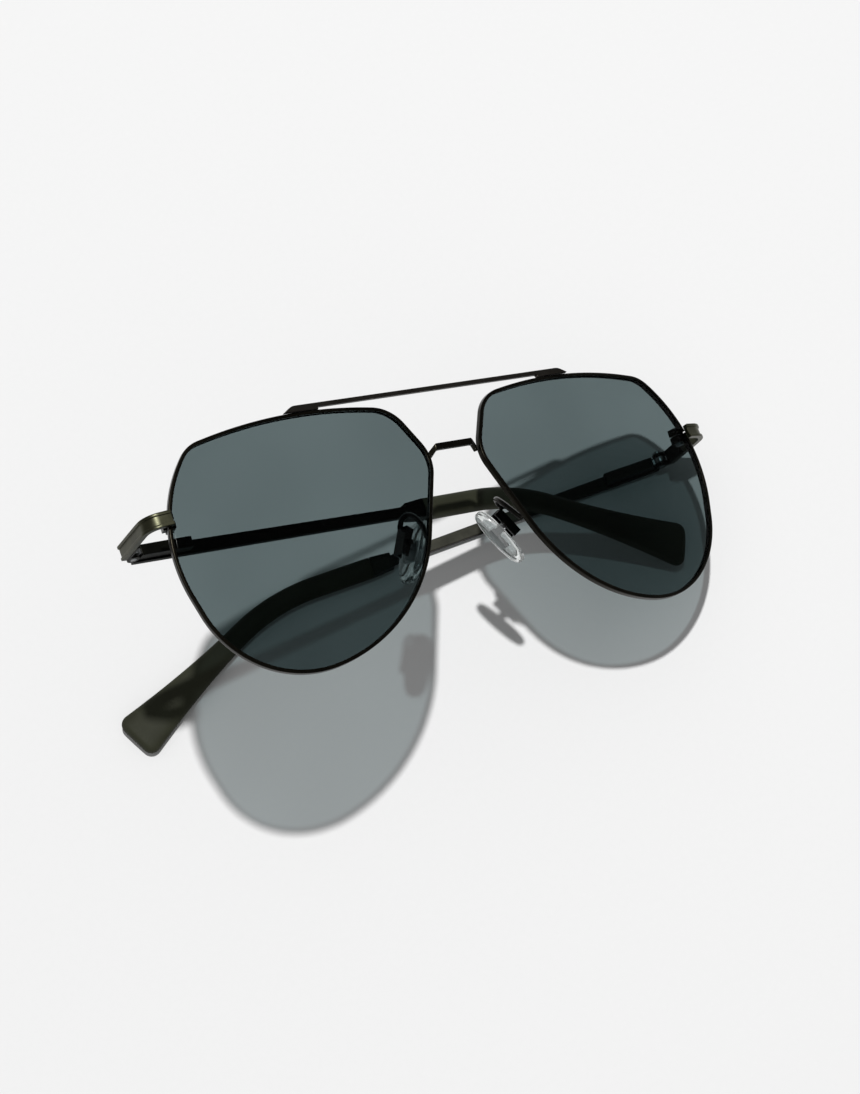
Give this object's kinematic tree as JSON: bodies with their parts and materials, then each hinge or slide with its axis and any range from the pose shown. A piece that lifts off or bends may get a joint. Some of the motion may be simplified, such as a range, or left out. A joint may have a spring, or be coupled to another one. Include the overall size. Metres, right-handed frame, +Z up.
{
  "type": "aviator sunglasses",
  "caption": "Folding aviator sunglasses with thin metal rims, grey lenses, a brow bar, rocking nose pads and sprung temple hinges, lying folded and face up.",
  "frame": {"origin": "on the table below the middle of the folded glasses: the centre of the bottom of their bounding box", "axes": "+X runs along the front towards the wearer's left, +Y towards the brow, +Z up from the table on which the folded glasses lie face up"},
  "size_m": [0.1486, 0.0552, 0.0835],
  "materials": {
    "metal": "satin gunmetal",
    "lens": "polished grey tint",
    "tip": "matte dark olive",
    "pad": "clear",
    "steel": "turned"
  },
  "bodies": {
    "left_temple": {"left_hinge_slider": "steel", "left_hinge_case": "metal", "left_spring_bush": "steel", "left_hinge_spring": "steel", "left_temple_arm": "metal", "left_collar": "metal", "left_temple_tip": "tip"},
    "front": {"brow_bar": "metal", "bridge": "metal", "right_rim": "metal", "left_rim": "metal", "right_lens": "lens", "left_lens": "lens", "right_end_piece": "metal", "left_end_piece": "metal", "right_lock_upper": "metal", "left_lock_upper": "metal", "right_lock_lower": "metal", "left_lock_lower": "metal", "right_lock_screw": "steel", "left_lock_screw": "steel", "right_pad_arm": "metal", "left_pad_arm": "metal", "right_pad_box": "metal", "left_pad_box": "metal", "right_pad_screw": "steel", "left_pad_screw": "steel", "right_hinge_leaf": "metal", "left_hinge_leaf": "metal", "right_hinge_screw": "steel", "left_hinge_screw": "steel"},
    "right_temple": {"right_hinge_slider": "steel", "right_hinge_case": "metal", "right_spring_bush": "steel", "right_hinge_spring": "steel", "right_temple_arm": "metal", "right_collar": "metal", "right_temple_tip": "tip"},
    "right_pad": {"right_pad_core": "steel", "right_nose_pad": "pad"},
    "left_pad": {"left_pad_core": "steel", "left_nose_pad": "pad"}
  },
  "joints": [
    {"name": "left_temple_fold", "type": "hinge", "parent": "left_temple", "child": "front", "pos_m": [0.0653, 0.01028, 0.0032], "axis": [0.0195, 0.9991, 0.0365], "range_deg": [0, 66]},
    {"name": "right_temple_fold", "type": "hinge", "parent": "front", "child": "right_temple", "pos_m": [-0.05714, 0.01028, 0.06879], "axis": [0.0195, 0.9991, 0.0365], "range_deg": [0, 85.8]},
    {"name": "right_pad_rock", "type": "hinge", "parent": "front", "child": "right_pad", "pos_m": [-0.00247, -0.00247, 0.05122], "axis": [-0.6523, 0.26, -0.712], "range_deg": [-8, 8]},
    {"name": "left_pad_rock", "type": "hinge", "parent": "front", "child": "left_pad", "pos_m": [0.02038, -0.00247, 0.03898], "axis": [-0.2314, 0.26, -0.9375], "range_deg": [-8, 8]}
  ],
  "couplings": [
    {"joint": "right_temple_fold", "follows": "left_temple_fold", "ratio": 1.3}
  ]
}
